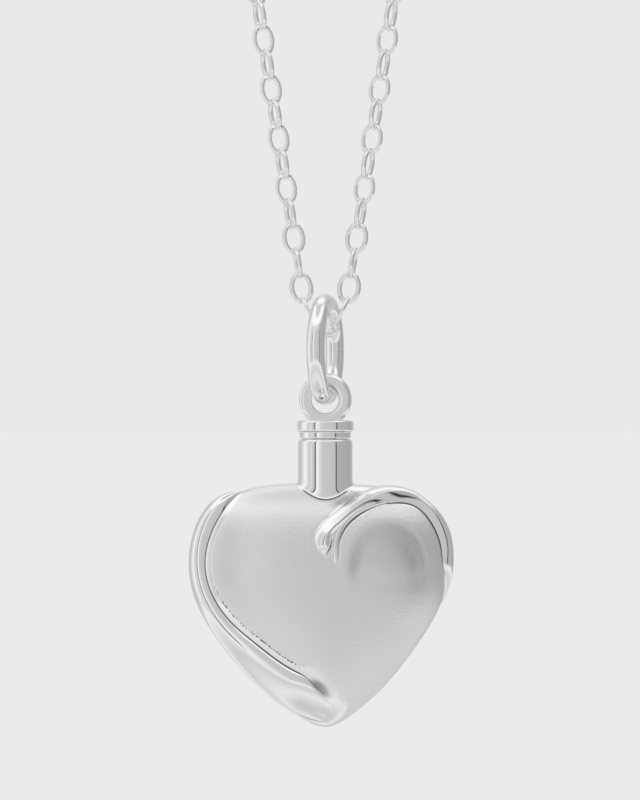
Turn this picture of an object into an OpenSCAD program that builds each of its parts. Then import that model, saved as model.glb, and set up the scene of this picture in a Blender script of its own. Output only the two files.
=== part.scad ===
// Keepsake urn pendant: a puffed silver heart with an ash chamber, two polished ribbons in relief and a
// collar, closed by a screw stopper whose eyelet hangs on a round-wire bail from an oval cable chain.
// Everything hangs below the origin, which is the point of the clasp that rests on the nape or a hook.
// X points to the wearer's left in the front view, -Y is the front and +Z is up.

/* [Chain] */
// Length round the whole closed loop
chain_length = 457; // [380:1:620]
// Outside width of one oval link
link_w = 1.83; // [1.75:0.01:2.2]
// Diameter of the wire of a link
link_wire = 0.30; // [0.24:0.01:0.32]
// Distance from one link to the next when the chain hangs
link_pitch = 1.907; // [1.8:0.001:2.3]
// Free play between two links, and between the chain and what it passes through
play = 0.10; // [0.08:0.01:0.14]
// Angle of each leg of the chain from the vertical
leg_angle = 8.7; // [7:0.1:14]
// Angle of the first link of each leg, which leans out round the bail
first_lean = 26; // [25:1:30]
// Turn of the links about their own leg
link_roll = 25; // [0:1:30]

/* [Clasp] */
// Outside diameter of the spring ring
clasp_d = 6.0; // [5.5:0.1:8]
// Diameter of the spring ring's tube
clasp_tube = 0.9; // [0.8:0.05:1.0]
// Outside diameter of the fixed eye on the spring ring
eye_d = 2.2; // [2.1:0.1:2.8]
// Diameter of the wire of the eye
eye_wire = 0.5; // [0.4:0.05:0.6]

/* [Bail] */
// Outside diameter of the round-wire bail
bail_d = 8.5; // [7.5:0.1:10]
// Diameter of the bail's wire
bail_wire = 1.4; // [1.2:0.05:1.45]
// Turn of the bail about the vertical
bail_turn = 12; // [0:1:14]

/* [Stopper] */
// Outside diameter of the eyelet
eyelet_d = 4.0; // [3.9:0.1:4.6]
// Diameter of the eyelet's hole
eyelet_hole_d = 2.05; // [1.85:0.05:2.3]
// Thickness of the eyelet from front to back
eyelet_t = 1.25; // [0.9:0.05:1.5]
// Width of the bevel round the eyelet's edge
eyelet_bevel = 0.25; // [0.1:0.05:0.35]
// Depth to which the eyelet's rim is sunk in the cap disc
eyelet_sink = 0.4; // [0.2:0.05:0.7]
// Width of the foot that joins the eyelet to the cap
foot_w = 2.6; // [1.6:0.1:3.2]
// Diameter of the cap disc
cap_d = 4.3; // [4.1:0.05:5]
// Thickness of the cap disc
cap_t = 0.86; // [0.7:0.02:1.4]
// Diameter of the narrow ring under the cap disc
seat_d = 3.9; // [3.4:0.05:4.1]
// Height of the narrow ring
seat_h = 0.50; // [0.3:0.02:0.8]
// Diameter of the threaded stud over its crests
stud_d = 2.2; // [1.8:0.05:2.4]
// Length of the stud below its seat
stud_l = 3.2; // [2:0.1:4]
// Pitch of the thread
thread_pitch = 0.4; // [0.3:0.05:0.6]
// Depth of the thread
thread_depth = 0.2; // [0.1:0.02:0.25]

/* [Collar] */
// Diameter of the collar that takes the stopper
collar_d = 4.27; // [4:0.05:5]
// Height of the collar above the top of the heart
collar_h = 3.4; // [2.5:0.1:5]
// Chamfer round the collar's mouth
collar_chamfer = 0.3; // [0.1:0.05:0.5]
// Height of the flare where the collar meets the heart
collar_flare = 0.4; // [0.2:0.05:0.6]
// Length of the collar's sleeve below the top of the heart
sleeve_l = 2.6; // [2.2:0.1:3.5]
// Clearance round the stud in its bore
bore_clearance = 0.12; // [0.08:0.01:0.2]
// Gap between the stopper's seat and the collar's mouth
seat_gap = 0.05; // [0.03:0.01:0.2]

/* [Heart] */
// Width of the heart
heart_w = 20.15; // [18:0.05:26]
// Height of the heart from its tip to its flat top
heart_h = 18.56; // [17:0.02:24]
// Depth of the heart from front to back
heart_depth = 8.0; // [7:0.1:10]
// Thickness of the wall round the chamber
heart_wall = 0.7; // [0.5:0.05:1.0]
// Height of the heart's fullest point above its tip
heart_mid_h = 10.2; // [9:0.1:12]
// Depth of the soft dish in the right lobe
dish_depth = 0.35; // [0.2:0.05:0.8]
// Half the width of the dish
dish_w = 3.45; // [2.5:0.05:4]
// Height of the dish's arch over its middle
dish_h = 4.65; // [3.5:0.05:5.5]
// Width of the dish's soft edge as a share of its half width
dish_edge = 0.4; // [0.1:0.05:0.8]
// Height that the polished ribbons stand above the heart's surface
ribbon_rise = 0.42; // [0.2:0.02:0.6]
// Depth to which a ribbon's edges are sunk, so that it grows out of the surface without a step
ribbon_sink = 0.04; // [0.02:0.01:0.1]

/* [Hidden] */
$fn = 48;

// Outline of the heart's body, from the tip and round by the right: x as a share of heart_w from the
// collar's axis, z as a share of heart_h from the tip. Where a ribbon runs round the edge, the body stays
// a little inside it.
OUTLINE = [
    [0.005, 0.000], [0.101, 0.054], [0.236, 0.176], [0.357, 0.345], [0.443, 0.495],
    [0.474, 0.642], [0.459, 0.807], [0.390, 0.912], [0.281, 0.976], [0.150, 0.996],
    [0.003, 1.000], [-0.152, 1.000], [-0.306, 0.976], [-0.418, 0.918], [-0.483, 0.806],
    [-0.508, 0.668], [-0.484, 0.527], [-0.411, 0.378], [-0.303, 0.226], [-0.186, 0.104],
    [-0.095, 0.041]
];
// Roundness of the section from the middle to the edge, and from the edge to the face
SECTION_EDGE = 2.5;
SECTION_FACE = 2.1;

// Each ribbon lies on the heart's surface. Its rows hold the place round the outline in steps of OUTLINE,
// the place from the middle of the front (0) over the edge (90) to the back, the half width as a share of
// heart_w, the rise as a share of ribbon_rise, and the crest's place towards the inner edge as a share of
// the half width.
LEFT_RIBBON = [
    [12.1, 85, 0.002, 0.1, 0], [12.75, 80, 0.04, 1.3, 0.2], [13.6, 78, 0.051, 1.8, 0.3],
    [14.5, 77.8, 0.052, 1.65, 0.3], [15.2, 77.6, 0.057, 1.5, 0.3], [16, 75.8, 0.062, 1.5, 0.35],
    [16.9, 71, 0.068, 1.5, 0.4], [17.6, 65.9, 0.08, 1.5, 0.45], [18.4, 62.3, 0.088, 1.45, 0.5],
    [19.2, 59.8, 0.095, 1.3, 0.5], [19.7, 58.3, 0.094, 1.05, 0.4], [20.2, 57.5, 0.084, 0.6, 0.3],
    [20.7, 58.3, 0.067, 0.3, 0.1], [21.2, 60, 0.04, 0.12, 0], [21.5, 61, 0.004, 0.05, 0]
];
RIGHT_RIBBON = [
    [4, 92, 0.002, 0.1, 0], [4.7, 87, 0.028, 0.9, 0.3], [5.2, 83.8, 0.05, 1.4, 0.4],
    [5.7, 82.9, 0.05, 1.65, 0.4], [6.2, 82, 0.054, 1.6, 0.4], [6.9, 82.4, 0.053, 1.4, 0.45],
    [7.4, 83, 0.06, 1.45, 0.55], [7.9, 79.4, 0.068, 1.7, 0.6], [8.3, 72, 0.066, 1.8, 0.6],
    [8.75, 58.2, 0.046, 1.5, 0.55], [9.2, 45, 0.034, 1.45, 0.45], [9.6, 36, 0.036, 1.6, 0.4],
    [9.95, 30, 0.036, 1.8, 0.35], [10.15, 24.8, 0.036, 1.8, 0.33], [10.15, 20.5, 0.03, 1.5, 0.3],
    [10.08, 17.5, 0.016, 0.8, 0.2], [10, 15.5, 0.003, 0.1, 0]
];
FOLD_RIBBON = [
    [7.7, 66, 0.004, 0.3, 0], [8.15, 59, 0.01, 0.9, 0.3], [8.55, 52, 0.013, 1, 0.3],
    [8.95, 44, 0.015, 1, 0.3], [9.25, 37, 0.017, 1, 0.3], [9.45, 29.5, 0.018, 0.9, 0.2],
    [9.5, 22.5, 0.017, 0.6, 0], [9.3, 16, 0.014, 0.3, 0], [8.9, 10.5, 0.004, 0.05, 0]
];

// Meshing of the heart: steps round it, rings over its front and its back, and the same of a ribbon
AROUND = 90;
FRONT_RINGS = 18;
BACK_RINGS = 8;
RIBBON_RINGS = 44;
RIBBON_SIDES = 10;
CHAMBER_AROUND = 42;
CHAMBER_RINGS = 13;

heart_half = heart_depth / 2;
mid = [0, heart_mid_h];
dish_mid = [0.241 * heart_w, 0.619 * heart_h];
dish_fade = [0.55 * heart_h, 0.69 * heart_h];
DISH_POWER = 2.4;
chamber_scale = 1 - 2.2 * heart_wall / heart_w;
chamber_half = heart_half - heart_wall - dish_depth;

// Chain measures
link_l = link_pitch + 2 * link_wire + play;
link_bend_r = (link_w - link_wire) / 2;
link_straight = link_l - link_w;
link_hook = (link_l - link_wire) / 2;
// The first side link hooks in the lowest one just above the middle of its end
hook_angle = 8;
hook_r = link_bend_r - link_wire - play;
hook_x = link_straight / 2 + hook_r * cos(hook_angle);
hook_z = hook_r * sin(hook_angle);
first_mid = [hook_x + link_hook * sin(first_lean), hook_z + link_hook * cos(first_lean)];
// Where the leg bends above the first link, the links stand this much closer to keep their play
bend_slack = 0.02;
leg_foot = first_mid + (link_pitch / 2 - bend_slack) * [sin(first_lean), cos(first_lean)];
TWIST_LINKS = 5;

// Clasp measures, along the chain from its ring's middle
clasp_r = (clasp_d - clasp_tube) / 2;
eye_r = (eye_d - eye_wire) / 2;
pin_offset = (link_wire + play) / 2;
left_pin = clasp_r - clasp_tube / 2 - play - link_wire / 2 + pin_offset;
right_pin = clasp_r + 2 * eye_r - eye_wire / 2 - play - link_wire / 2 + pin_offset;
clasp_span = left_pin + right_pin;
clasp_x = (left_pin - right_pin) / 2;
knob_d = 0.8;
knob_l = 1.5;
knob_angle = 60;

// Links on each side above the lowest one, an odd number so that the last one lies across the clasp
side_links = 2 * round((chain_length - link_pitch - clasp_span) / (4 * link_pitch) - 0.5) + 1;
run = (side_links - 1) * link_pitch;
arc_r = (2 * run + clasp_span + 2 * leg_foot[0] / sin(leg_angle))
    / (2 / tan(leg_angle) + PI * (1 + leg_angle / 90));
leg_run = (arc_r * cos(leg_angle) - leg_foot[0]) / sin(leg_angle);
arc_mid_z = leg_foot[1] + leg_run * cos(leg_angle) + arc_r * sin(leg_angle);
end_pin_z = route(run)[1];
// Middle of the lowest link, below the clasp's underside
low_z = -(end_pin_z - clasp_d / 2);

// Heights below the chain, each from the one above
bail_r = (bail_d - bail_wire) / 2;
swing_z = low_z + link_bend_r;
bail_top_z = swing_z + link_wire / 2 + play + bail_wire / 2;
bail_mid_z = bail_top_z - bail_r;
bail_foot_z = bail_top_z - 2 * bail_r;
eyelet_z = bail_foot_z + bail_wire / 2 + play - eyelet_hole_d / 2;
cap_top_z = eyelet_z - eyelet_d / 2 + eyelet_sink;
cap_z = cap_top_z - cap_t;
seat_z = cap_z - seat_h;
mouth_z = seat_z - seat_gap;
heart_top_z = mouth_z - collar_h;
tip_z = heart_top_z - heart_h;
bore_d = stud_d + 2 * bore_clearance;

// Points of smooth curves through the rows of a table
function basis(f) = [pow(1 - f, 3), 3 * pow(f, 3) - 6 * f * f + 4, -3 * pow(f, 3) + 3 * f * f + 3 * f + 1,
    pow(f, 3)] / 6;
function closed_row(rows, i) = rows[(i % len(rows) + len(rows)) % len(rows)];
function open_row(rows, i) = let (n = len(rows) - 1)
    i < 0 ? rows[0] + i * (rows[1] - rows[0])
    : i > n ? rows[n] + (i - n) * (rows[n] - rows[n - 1])
    : rows[i];
function guide(a, b, c) = b - (a - 2 * b + c) / 6;
function closed_guide(rows, i) = guide(closed_row(rows, i - 1), closed_row(rows, i), closed_row(rows, i + 1));
function open_guide(rows, i) = guide(open_row(rows, i - 1), open_row(rows, i), open_row(rows, i + 1));
function closed_curve(rows, t) = let (i = floor(t), w = basis(t - i))
    w[0] * closed_guide(rows, i - 1) + w[1] * closed_guide(rows, i)
    + w[2] * closed_guide(rows, i + 1) + w[3] * closed_guide(rows, i + 2);
function open_curve(rows, t) = let (i = floor(t), w = basis(t - i))
    w[0] * open_guide(rows, i - 1) + w[1] * open_guide(rows, i)
    + w[2] * open_guide(rows, i + 1) + w[3] * open_guide(rows, i + 2);

// The heart's surface, at u steps round the outline and f degrees from the middle of the front
function outline(u) = let (p = closed_curve(OUTLINE, u)) [p[0] * heart_w, p[1] * heart_h];
function smooth(a, b, v) = let (t = max(0, min(1, (v - a) / (b - a)))) t * t * (3 - 2 * t);
function signed_power(v, e) = sign(v) * pow(abs(v), e);
// The dish is an arch over its middle and fades out below it
function dish(p) = let (
        x = pow(abs(p[0] - dish_mid[0]) / dish_w, DISH_POWER),
        z = pow(abs(p[1] - dish_mid[1]) / dish_h, DISH_POWER)
    ) dish_depth * (1 - smooth(1 - dish_edge, 1, pow(x + z, 1 / DISH_POWER))) * smooth(dish_fade[0], dish_fade[1], p[1]);
function shell(u, f, scale, half) = let (
        s = scale * pow(abs(sin(f)), 2 / SECTION_EDGE),
        p = mid + s * (outline(u) - mid)
    ) [p[0], -half * signed_power(cos(f), 2 / SECTION_FACE), p[1]];
function skin(u, f) = let (p = shell(u, f, 1, heart_half))
    p + [0, f < 90 ? dish([p[0], p[2]]) : 0, 0];
function unit(v) = v / norm(v);
function outward(u, f) = unit(cross(skin(u, f + 0.5) - skin(u, f - 0.5),
    skin(u + 0.02, f) - skin(u - 0.02, f)));

// Place along a leg and the arc over the top, in X and Z from the middle of the lowest link
function route(s) = s < leg_run
    ? leg_foot + s * [sin(leg_angle), cos(leg_angle)]
    : let (a = (s - leg_run) / arc_r * 180 / PI - leg_angle)
        [arc_r * cos(a), arc_mid_z + arc_r * sin(a)];
function roll(i) = (i % 2 == 0 ? 90 : 0) + link_roll * min(1, (i - 1) / TWIST_LINKS, (side_links - i) / TWIST_LINKS);

// One oval link, long along Z and lying in the YZ plane
module link() {
    for (end = [-1, 1])
        translate([0, 0, end * link_straight / 2])
            rotate([0, -90, 0])
                rotate([0, 0, end > 0 ? -90 : 90])
                    rotate_extrude(angle = 180)
                        translate([link_bend_r, 0])
                            circle(d = link_wire);
    for (side = [-1, 1])
        translate([0, side * link_bend_r, -link_straight / 2])
            cylinder(d = link_wire, h = link_straight);
}

module first_link(side) {
    translate([side * first_mid[0], 0, low_z + first_mid[1]])
        rotate([0, side * first_lean, 0])
            link();
}

module leg(side) {
    first_link(side);
    for (i = [2 : side_links])
        let (a = route((i - 2) * link_pitch), b = route((i - 1) * link_pitch), m = (a + b) / 2)
            translate([side * m[0], 0, low_z + m[1]])
                rotate([0, side * atan2(b[0] - a[0], b[1] - a[1]), 0])
                    rotate([0, 0, -side * roll(i)])
                        link();
}

module chain_left() {
    color("silver") leg(-1);
}

module chain_right() {
    color("silver") {
        leg(1);
        translate([0, 0, low_z])
            rotate([0, 90, 0])
                rotate([0, 0, 90])
                    link();
    }
}

module clasp() {
    color("gainsboro")
        translate([clasp_x, 0, clasp_d / 2]) {
            rotate([90, 0, 0])
                rotate_extrude()
                    translate([clasp_r, 0])
                        circle(d = clasp_tube);
            translate([clasp_r + eye_r, 0, 0])
                rotate([90, 0, 0])
                    rotate_extrude()
                        translate([eye_r, 0])
                            circle(d = eye_wire);
            rotate([0, -knob_angle, 0])
                translate([0, 0, clasp_r])
                    cylinder(d = knob_d, h = knob_l);
        }
}

module bail_ring() {
    color("lightgray")
        translate([0, 0, bail_mid_z])
            rotate([0, 0, 90 - bail_turn])
                rotate([90, 0, 0])
                    rotate_extrude()
                        translate([bail_r, 0])
                            circle(d = bail_wire);
}

// Half section of the eyelet: a flat ring with bevelled edges
module eyelet_section() {
    polygon([
        [eyelet_hole_d / 2, -eyelet_t / 2 + eyelet_bevel / 2],
        [eyelet_hole_d / 2 + eyelet_bevel / 2, -eyelet_t / 2],
        [eyelet_d / 2 - eyelet_bevel, -eyelet_t / 2],
        [eyelet_d / 2, -eyelet_t / 2 + eyelet_bevel],
        [eyelet_d / 2, eyelet_t / 2 - eyelet_bevel],
        [eyelet_d / 2 - eyelet_bevel, eyelet_t / 2],
        [eyelet_hole_d / 2 + eyelet_bevel / 2, eyelet_t / 2],
        [eyelet_hole_d / 2, eyelet_t / 2 - eyelet_bevel / 2]
    ]);
}

// Half section of the cap disc, its seat ring and the threaded stud below
module plug_section() {
    turns = floor((stud_l - thread_pitch) / thread_pitch);
    crest = stud_d / 2;
    root = crest - thread_depth;
    edge = cap_t * 0.3;
    polygon(concat(
        [[0, cap_t], [cap_d / 2 - edge, cap_t], [cap_d / 2 - edge * 0.3, cap_t - edge * 0.3],
         [cap_d / 2, cap_t - edge], [cap_d / 2, edge], [cap_d / 2 - edge * 0.3, edge * 0.3],
         [cap_d / 2 - edge, 0], [seat_d / 2, 0], [seat_d / 2, -seat_h], [root, -seat_h]],
        [for (k = [0 : turns - 1], step = [0, 1])
            let (z = -seat_h - (k + 0.5 + step * 0.5) * thread_pitch) [step == 0 ? crest : root, z]],
        [[root, -seat_h - stud_l + root * 0.3], [root * 0.7, -seat_h - stud_l], [0, -seat_h - stud_l]]
    ));
}

module stopper() {
    color("gainsboro") {
        difference() {
            union() {
                translate([0, 0, eyelet_z])
                    rotate([90, 0, 0])
                        rotate_extrude()
                            eyelet_section();
                translate([-foot_w / 2, -eyelet_t / 2, cap_top_z - cap_t / 2])
                    cube([foot_w, eyelet_t, 2 * eyelet_sink + cap_t / 2]);
            }
            translate([0, 0, eyelet_z])
                rotate([90, 0, 0])
                    cylinder(d = eyelet_hole_d, h = 2 * eyelet_t, center = true);
        }
        translate([0, 0, cap_z])
            rotate_extrude()
                plug_section();
    }
}

// A closed shell from the middle of the front over the edge to the middle of the back
module puffed(around, rings, points) {
    last = rings;
    polyhedron(
        points = concat([points[0]], points[1], [points[2]]),
        faces = concat(
            [for (j = [0 : around - 1]) [0, 1 + (j + 1) % around, 1 + j]],
            [for (k = [0 : last - 2], j = [0 : around - 1])
                let (a = 1 + k * around, n = (j + 1) % around)
                    [a + j, a + n, a + around + n, a + around + j]],
            [for (j = [0 : around - 1])
                let (a = 1 + (last - 1) * around) [a + around, a + j, a + (j + 1) % around]]
        )
    );
}

module heart_shell() {
    turns = concat([for (k = [1 : FRONT_RINGS]) 90 * k / FRONT_RINGS],
        [for (k = [1 : BACK_RINGS - 1]) 90 + 90 * k / BACK_RINGS]);
    puffed(AROUND, len(turns), [
        skin(0, 0),
        [for (f = turns, j = [0 : AROUND - 1]) skin(j * len(OUTLINE) / AROUND, f)],
        skin(0, 180)
    ]);
}

module chamber() {
    puffed(CHAMBER_AROUND, CHAMBER_RINGS, [
        shell(0, 0, chamber_scale, chamber_half),
        [for (k = [1 : CHAMBER_RINGS], j = [0 : CHAMBER_AROUND - 1])
            shell(j * len(OUTLINE) / CHAMBER_AROUND, 180 * k / (CHAMBER_RINGS + 1), chamber_scale, chamber_half)],
        shell(0, 180, chamber_scale, chamber_half)
    ]);
}

// A roll swept along the heart's surface through the rows of a table. inner and outer shape its two
// flanks: 1 is round, less is fuller and more is flatter.
module ribbon(rows, inner, outer) {
    steps = len(rows) - 1;
    function at(t) = let (r = open_curve(rows, t)) skin(r[0], r[1]);
    function ring(k) = let (
            t = steps * k / RIBBON_RINGS,
            r = open_curve(rows, t),
            up = outward(r[0], r[1]),
            along = unit(at(t + 0.05) - at(t - 0.05)),
            side = unit(cross(along, up)),
            // How u and f change with a millimetre sideways
            au = (skin(r[0] + 0.01, r[1]) - skin(r[0] - 0.01, r[1])) / 0.02,
            af = (skin(r[0], r[1] + 0.1) - skin(r[0], r[1] - 0.1)) / 0.2,
            det = (au * au) * (af * af) - (au * af) * (au * af),
            step_u = ((af * af) * (au * side) - (au * af) * (af * side)) / det,
            step_f = ((au * au) * (af * side) - (au * af) * (au * side)) / det,
            half = max(r[2], 0.001) * heart_w,
            rise = max(r[3], 0.05) * ribbon_rise
        ) [for (j = [0 : RIBBON_SIDES - 1]) let (
                a = 360 * j / RIBBON_SIDES,
                flank = cos(a) < 0 ? inner : outer,
                lean = cos(a) < 0 ? -r[4] : r[4],
                across = half * (signed_power(cos(a), flank) * (1 + lean) - r[4]),
                lift = signed_power(sin(a), flank)
            ) skin(r[0] + step_u * across, r[1] + step_f * across)
                + up * (rise * (lift > 0 ? lift : 1.4 * lift) - ribbon_sink)];
    points = concat([at(0)], [for (k = [0 : RIBBON_RINGS]) each ring(k)], [at(steps)]);
    last = RIBBON_RINGS;
    polyhedron(
        points = points,
        faces = concat(
            [for (j = [0 : RIBBON_SIDES - 1]) [0, 1 + (j + 1) % RIBBON_SIDES, 1 + j]],
            [for (k = [0 : last - 1], j = [0 : RIBBON_SIDES - 1])
                let (a = 1 + k * RIBBON_SIDES, n = (j + 1) % RIBBON_SIDES)
                    [a + j, a + n, a + RIBBON_SIDES + n, a + RIBBON_SIDES + j]],
            [for (j = [0 : RIBBON_SIDES - 1])
                let (a = 1 + last * RIBBON_SIDES) [a + RIBBON_SIDES, a + j, a + (j + 1) % RIBBON_SIDES]]
        )
    );
}

// The collar is a sleeve that runs down through the heart's wall and ends inside the chamber
module collar() {
    r = collar_d / 2;
    bore = bore_d / 2;
    rotate_extrude()
        polygon([
            [bore, -sleeve_l], [r, -sleeve_l], [r + collar_flare / 2, -sleeve_l + collar_flare],
            [r + collar_flare / 2, -collar_flare], [r, collar_flare],
            [r, collar_h - collar_chamfer], [r - collar_chamfer, collar_h],
            [bore + collar_chamfer / 2, collar_h], [bore, collar_h - collar_chamfer / 2]
        ]);
}

module heart_body() {
    color("whitesmoke") {
        translate([0, 0, tip_z])
            resize([heart_w, 0, 0])
                difference() {
                    union() {
                        heart_shell();
                        ribbon(LEFT_RIBBON, 0.7, 1.0);
                        ribbon(RIGHT_RIBBON, 1.4, 1.5);
                        ribbon(FOLD_RIBBON, 1.0, 1.4);
                    }
                    chamber();
                    translate([0, 0, heart_h - sleeve_l])
                        cylinder(d = (bore_d + collar_d) / 2, h = 2 * sleeve_l);
                }
        translate([0, 0, heart_top_z])
            collar();
    }
}

chain_left();
chain_right();
clasp();
bail_ring();
stopper();
heart_body();
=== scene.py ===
"""Keepsake urn pendant on its chain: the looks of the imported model.

A puffed silver heart with two polished ribbons in relief hangs by a screw stopper and a round-wire bail
from an oval cable chain. Sizes are in metres, the front is -Y and +Z is up.
"""

import math
from functools import partial

import bmesh
import bpy
import numpy as np
from mathutils import Euler, Matrix, Vector
from mathutils.bvhtree import BVHTree
from mathutils.kdtree import KDTree


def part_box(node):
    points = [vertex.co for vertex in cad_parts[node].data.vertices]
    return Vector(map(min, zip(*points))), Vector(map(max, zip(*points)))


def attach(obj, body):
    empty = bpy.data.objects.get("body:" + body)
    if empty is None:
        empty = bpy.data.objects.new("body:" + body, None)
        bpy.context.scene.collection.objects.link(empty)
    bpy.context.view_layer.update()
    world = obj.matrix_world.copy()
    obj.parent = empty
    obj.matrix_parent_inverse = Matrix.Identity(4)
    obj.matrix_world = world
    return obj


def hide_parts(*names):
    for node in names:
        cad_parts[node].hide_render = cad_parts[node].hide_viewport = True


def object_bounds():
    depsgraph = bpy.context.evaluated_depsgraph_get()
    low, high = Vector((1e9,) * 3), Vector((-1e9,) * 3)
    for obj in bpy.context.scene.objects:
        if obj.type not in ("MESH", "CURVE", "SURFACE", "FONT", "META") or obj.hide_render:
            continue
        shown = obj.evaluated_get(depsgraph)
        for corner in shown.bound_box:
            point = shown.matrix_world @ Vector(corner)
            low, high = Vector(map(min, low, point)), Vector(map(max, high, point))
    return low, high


bl_info = {
    "name": "Keepsake Urn Pendant",
    "version": (1, 0, 0),
    "blender": (4, 5, 0),
    "location": "3D View > Sidebar > Pendant",
    "description": "Dresses a packed urn pendant and its chain in polished and satin silver",
    "category": "Add Mesh",
}

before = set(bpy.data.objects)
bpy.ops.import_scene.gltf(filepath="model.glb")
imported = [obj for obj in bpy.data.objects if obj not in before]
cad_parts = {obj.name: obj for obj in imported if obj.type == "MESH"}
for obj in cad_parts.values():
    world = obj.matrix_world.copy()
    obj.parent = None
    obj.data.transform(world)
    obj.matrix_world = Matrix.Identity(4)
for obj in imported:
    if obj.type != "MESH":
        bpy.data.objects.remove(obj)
CAD_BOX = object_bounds()
MM = 0.001

CLASP_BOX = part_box("clasp")
BAIL_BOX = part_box("bail_ring")
STOPPER_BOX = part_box("stopper")
HEART_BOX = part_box("heart_body")


def length(name, description, default, low=0.0, high=1.0):
    """A size in metres that a user may change."""
    return bpy.props.FloatProperty(
        name=name, description=description, default=default, min=low, max=high,
        precision=5, subtype="DISTANCE", unit="LENGTH",
    )


def angle(name, description, degrees):
    """An angle that a user may change."""
    return bpy.props.FloatProperty(
        name=name, description=description, default=math.radians(degrees), subtype="ANGLE", unit="ROTATION",
    )


def share(name, description, default, high=1.0):
    """A plain number from nothing to its limit."""
    return bpy.props.FloatProperty(
        name=name, description=description, default=default, min=0.0, max=high, subtype="FACTOR",
    )


def linear(hex_colour):
    """An sRGB hex colour as the linear colour that Blender works in."""
    parts = [int(hex_colour[i:i + 2], 16) / 255 for i in (1, 3, 5)]
    return tuple(c / 12.92 if c <= 0.04045 else ((c + 0.055) / 1.055) ** 2.4 for c in parts) + (1.0,)


def colour(name, description, hex_colour):
    """A colour that a user may change, given as sRGB hex."""
    return bpy.props.FloatVectorProperty(
        name=name, description=description, default=linear(hex_colour), size=4, min=0.0, max=1.0, subtype="COLOR",
    )


class PendantChain(bpy.types.PropertyGroup):
    """Sizes of the oval cable chain."""

    total: length("Length", "Length round the whole closed loop", 0.457)
    width: length("Link width", "Outside width of one oval link", 0.00183)
    wire: length("Wire", "Diameter of the wire of a link", 0.00030)
    pitch: length("Pitch", "Distance from one link to the next", 0.001907)
    play: length("Play", "Room between two links in the packed model, which the drawn links close", 0.00010)
    lean: angle("Leg angle", "Angle of each leg of the chain from the vertical", 8.7)
    first_lean: angle("First lean", "Angle of the first link of each leg", 26)
    roll: angle("Link roll", "Turn of the links about their own leg", 25)


class PendantClasp(bpy.types.PropertyGroup):
    """Sizes of the spring ring at the nape."""

    tube: length("Tube", "Diameter of the spring ring's tube", 0.0009)
    eye: length("Eye", "Outside diameter of the fixed eye", 0.0022)
    eye_wire: length("Eye wire", "Diameter of the wire of the eye", 0.0005)
    knob: length("Knob", "Diameter of the thumb knob", 0.0008)
    knob_length: length("Knob length", "Length of the thumb knob from the middle of the tube", 0.0015)
    knob_angle: angle("Knob angle", "Turn of the knob from the top", 60)


class PendantBail(bpy.types.PropertyGroup):
    """Sizes of the round-wire bail."""

    wire: length("Wire", "Diameter of the bail's wire", 0.0014)
    turn: angle("Turn", "Turn of the bail about the vertical", 12)
    seam_at: angle("Seam", "Place of the closed seam, up from the middle of the far strand", 1)
    seam_width: length("Seam width", "Width of the seam in the wire", 0.00007)
    seam_depth: length("Seam depth", "Depth of the seam in the wire", 0.00008)


class PendantStopper(bpy.types.PropertyGroup):
    """Sizes of the eyelet, the cap disc and the threaded stud."""

    eyelet: length("Eyelet", "Outside diameter of the eyelet", 0.0040)
    hole: length("Hole", "Diameter of the eyelet's hole", 0.00205)
    thick: length("Thickness", "Thickness of the eyelet from front to back", 0.00125)
    bevel: length("Bevel", "Width of the bevel round the eyelet's edge", 0.00038)
    sink: length("Sink", "Depth to which the eyelet's rim is sunk in the cap", 0.0004)
    foot: length("Foot", "Width of the foot under the eyelet", 0.0026)
    cap: length("Cap", "Diameter of the cap disc", 0.0043)
    cap_thick: length("Cap thickness", "Thickness of the cap disc", 0.00086)
    seat: length("Seat", "Diameter of the narrow ring under the cap", 0.0039)
    seat_height: length("Seat height", "Height of the narrow ring", 0.00050)
    stud: length("Stud", "Diameter of the threaded stud over its crests", 0.0022)
    stud_length: length("Stud length", "Length of the stud below its seat", 0.0032)
    pitch: length("Thread pitch", "Pitch of the thread", 0.0004)
    thread: length("Thread depth", "Depth of the thread", 0.0002)


class PendantHeart(bpy.types.PropertyGroup):
    """Sizes of the heart, its dish, its ribbons and its collar."""

    width: length("Width", "Width of the heart over its ribbons", 0.02015)
    height: length("Height", "Height from the tip to the flat top", 0.01856)
    depth: length("Depth", "Depth from front to back", 0.0080)
    middle: length("Middle", "Height of the fullest point above the tip", 0.0102)
    wall: length("Wall", "Thickness of the wall round the chamber", 0.0007)
    dish: length("Dish", "Depth of the soft dish in the right lobe", 0.00035)
    dish_width: length("Dish width", "Half the width of the dish", 0.00345)
    dish_height: length("Dish height", "Height of the dish's arch over its middle", 0.00465)
    dish_edge: share("Dish edge", "Width of the dish's soft edge as a share of its half width", 0.4)
    ribbon: length("Ribbon rise", "Height that the ribbons stand above the surface", 0.00042)
    sink: length("Ribbon sink", "Depth to which a ribbon's edges are sunk, so that it grows out of the heart", 0.00004)
    collar: length("Collar", "Diameter of the collar", 0.00427)
    collar_height: length("Collar height", "Height of the collar above the top of the heart", 0.0034)
    chamfer: length("Chamfer", "Rounded edge at the collar's mouth", 0.0003)
    flare: length("Flare", "Width of the soft corner where the collar meets the heart", 0.0004)
    sleeve: length("Sleeve", "Length of the collar below the top of the heart", 0.0026)
    bore: length("Bore", "Diameter of the bore that takes the stud", 0.00244)
    satin_margin: length("Satin margin", "Polished strip between the left ribbon and the satin", 0.0005)


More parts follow.
